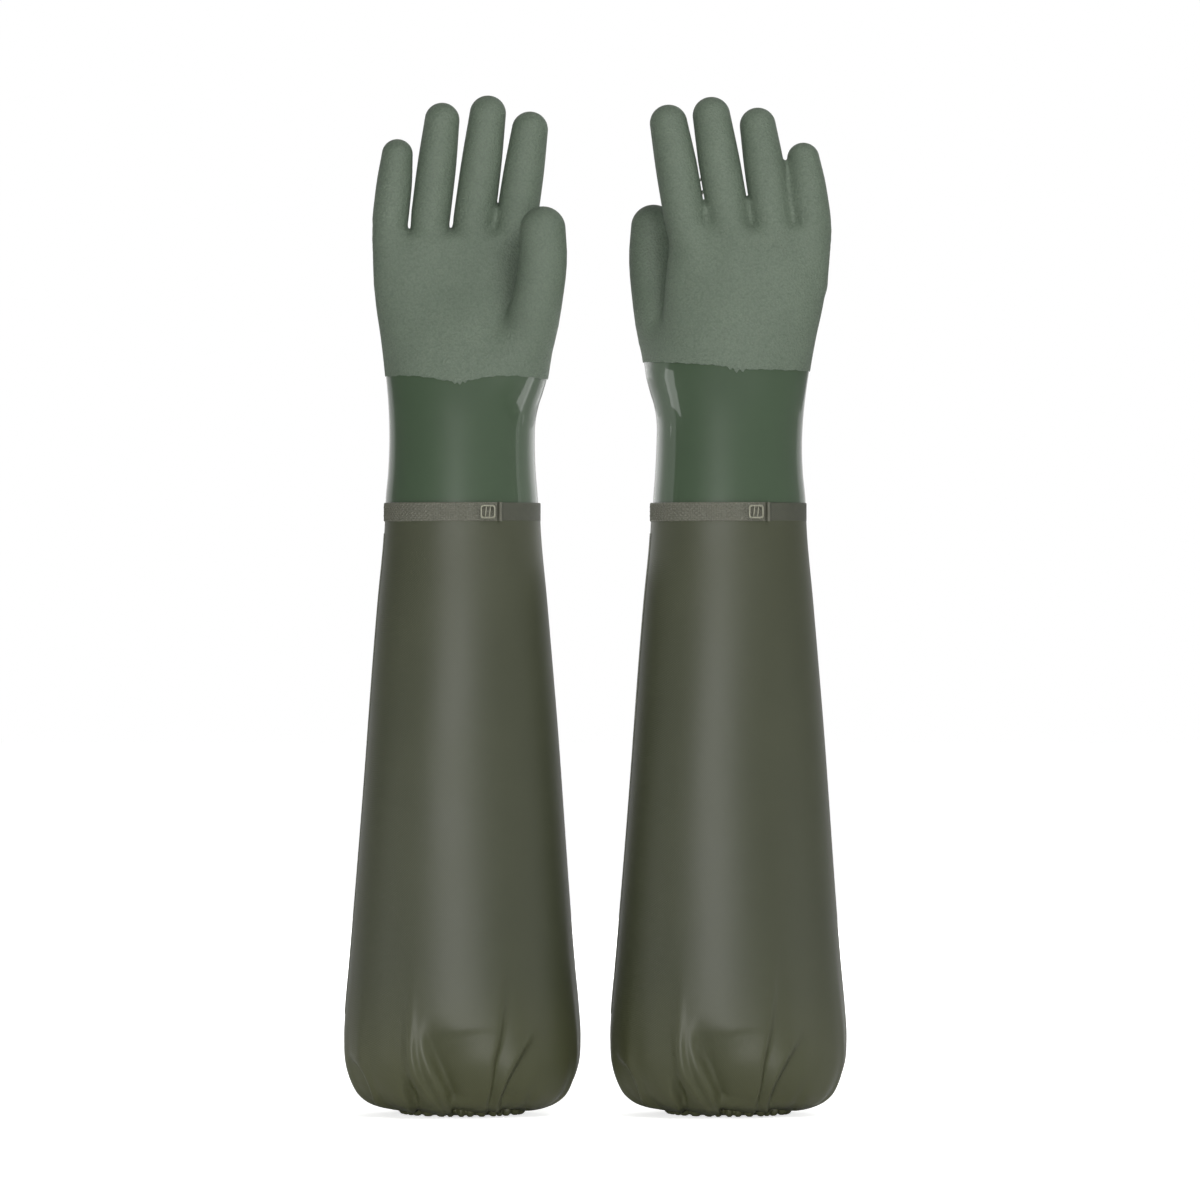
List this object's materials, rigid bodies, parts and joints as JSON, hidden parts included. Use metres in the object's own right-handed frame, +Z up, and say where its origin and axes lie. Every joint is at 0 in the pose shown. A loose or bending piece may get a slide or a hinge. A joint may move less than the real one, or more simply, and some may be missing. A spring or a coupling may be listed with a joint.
{
  "type": "cryogenic gloves",
  "caption": "Pair of long gauntlet gloves with grip-coated hands, hinged fingers and wrists, strapped weld and full sleeves gathered at an elastic hem.",
  "frame": {"origin": "middle of the pair's base, on the plane that both hems stand on", "axes": "+Z up along the arms towards the fingertips, +X from glove a to glove b, +Y through the hands from glove a's palm to its back"},
  "size_m": [0.3475, 0.128, 0.7022],
  "materials": {
    "grip_coat": "coarse matte grip grain",
    "smooth_dip": "glossy dipped PVC",
    "thermal_lining": "brushed insulating knit",
    "seam_tape": "satin welded tape",
    "strap": "herringbone embossed webbing",
    "buckle": "satin moulded plastic",
    "sleeve_fabric": "satin PVC coated fabric",
    "elastic": "flat knitted elastic"
  },
  "bodies": {
    "forearms": {"a_gauntlet_cuff": "smooth_dip", "a_cuff_thermal_liner": "thermal_lining", "a_weld_tape": "seam_tape", "a_joint_strap": "strap", "a_strap_tongue": "strap", "a_strap_buckle": "buckle", "a_strap_keeper": "buckle", "a_sleeve": "sleeve_fabric", "a_sleeve_seam_tape": "seam_tape", "a_hem_casing": "sleeve_fabric", "a_hem_elastic": "elastic", "b_gauntlet_cuff": "smooth_dip", "b_cuff_thermal_liner": "thermal_lining", "b_weld_tape": "seam_tape", "b_joint_strap": "strap", "b_strap_tongue": "strap", "b_strap_buckle": "buckle", "b_strap_keeper": "buckle", "b_sleeve": "sleeve_fabric", "b_sleeve_seam_tape": "seam_tape", "b_hem_casing": "sleeve_fabric", "b_hem_elastic": "elastic"},
    "a_hand": {"a_palm_grip_coat": "grip_coat", "a_palm_smooth_dip": "smooth_dip", "a_palm_thermal_liner": "thermal_lining"},
    "a_little": {"a_little_grip_coat": "grip_coat", "a_little_smooth_dip": "smooth_dip", "a_little_thermal_liner": "thermal_lining"},
    "a_ring": {"a_ring_grip_coat": "grip_coat", "a_ring_smooth_dip": "smooth_dip", "a_ring_thermal_liner": "thermal_lining"},
    "a_middle": {"a_middle_grip_coat": "grip_coat", "a_middle_smooth_dip": "smooth_dip", "a_middle_thermal_liner": "thermal_lining"},
    "a_index": {"a_index_grip_coat": "grip_coat", "a_index_smooth_dip": "smooth_dip", "a_index_thermal_liner": "thermal_lining"},
    "a_thumb": {"a_thumb_grip_coat": "grip_coat", "a_thumb_smooth_dip": "smooth_dip", "a_thumb_thermal_liner": "thermal_lining"},
    "b_hand": {"b_palm_grip_coat": "grip_coat", "b_palm_smooth_dip": "smooth_dip", "b_palm_thermal_liner": "thermal_lining"},
    "b_little": {"b_little_grip_coat": "grip_coat", "b_little_smooth_dip": "smooth_dip", "b_little_thermal_liner": "thermal_lining"},
    "b_ring": {"b_ring_grip_coat": "grip_coat", "b_ring_smooth_dip": "smooth_dip", "b_ring_thermal_liner": "thermal_lining"},
    "b_middle": {"b_middle_grip_coat": "grip_coat", "b_middle_smooth_dip": "smooth_dip", "b_middle_thermal_liner": "thermal_lining"},
    "b_index": {"b_index_grip_coat": "grip_coat", "b_index_smooth_dip": "smooth_dip", "b_index_thermal_liner": "thermal_lining"},
    "b_thumb": {"b_thumb_grip_coat": "grip_coat", "b_thumb_smooth_dip": "smooth_dip", "b_thumb_thermal_liner": "thermal_lining"}
  },
  "joints": [
    {"name": "a_wrist_bend", "type": "hinge", "parent": "forearms", "child": "a_hand", "pos_m": [-0.09175, 0, 0.462], "axis": [1, 0, 0], "range_deg": [-25, 25], "stiffness_Nm_per_rad": 2},
    {"name": "a_little_curl", "type": "hinge", "parent": "a_hand", "child": "a_little", "pos_m": [-0.14094, 0, 0.6239], "axis": [0.9936, 0, -0.1132], "range_deg": [-8, 60], "stiffness_Nm_per_rad": 0.15},
    {"name": "a_ring_curl", "type": "hinge", "parent": "a_hand", "child": "a_ring", "pos_m": [-0.1133, 0, 0.62388], "axis": [0.9925, 0, -0.1219], "range_deg": [-8, 60], "stiffness_Nm_per_rad": 0.15},
    {"name": "a_middle_curl", "type": "hinge", "parent": "a_hand", "child": "a_middle", "pos_m": [-0.08303, 0, 0.62386], "axis": [0.9912, 0, -0.1323], "range_deg": [-8, 60], "stiffness_Nm_per_rad": 0.15},
    {"name": "a_index_curl", "type": "hinge", "parent": "a_hand", "child": "a_index", "pos_m": [-0.05341, 0, 0.62383], "axis": [0.9893, 0, -0.1461], "range_deg": [-8, 60], "stiffness_Nm_per_rad": 0.15},
    {"name": "a_thumb_curl", "type": "hinge", "parent": "a_hand", "child": "a_thumb", "pos_m": [-0.03875, -0.028, 0.566], "axis": [0.5043, -0.8571, -0.105], "range_deg": [-8, 35], "stiffness_Nm_per_rad": 0.15},
    {"name": "b_wrist_bend", "type": "hinge", "parent": "forearms", "child": "b_hand", "pos_m": [0.09175, 0, 0.462], "axis": [-1, 0, 0], "range_deg": [-25, 25], "stiffness_Nm_per_rad": 2},
    {"name": "b_little_curl", "type": "hinge", "parent": "b_hand", "child": "b_little", "pos_m": [0.1485, 0, 0.62384], "axis": [-0.99, 0, -0.1409], "range_deg": [-8, 60], "stiffness_Nm_per_rad": 0.15},
    {"name": "b_ring_curl", "type": "hinge", "parent": "b_hand", "child": "b_ring", "pos_m": [0.12086, 0, 0.62382], "axis": [-0.9888, 0, -0.1495], "range_deg": [-8, 60], "stiffness_Nm_per_rad": 0.15},
    {"name": "b_middle_curl", "type": "hinge", "parent": "b_hand", "child": "b_middle", "pos_m": [0.09059, 0, 0.62379], "axis": [-0.9871, 0, -0.1599], "range_deg": [-8, 60], "stiffness_Nm_per_rad": 0.15},
    {"name": "b_index_curl", "type": "hinge", "parent": "b_hand", "child": "b_index", "pos_m": [0.06097, 0, 0.62376], "axis": [-0.9848, 0, -0.1736], "range_deg": [-8, 60], "stiffness_Nm_per_rad": 0.15},
    {"name": "b_thumb_curl", "type": "hinge", "parent": "b_hand", "child": "b_thumb", "pos_m": [0.0416, 0.028, 0.566], "axis": [-0.5043, 0.8571, -0.105], "range_deg": [-8, 35], "stiffness_Nm_per_rad": 0.15}
  ]
}
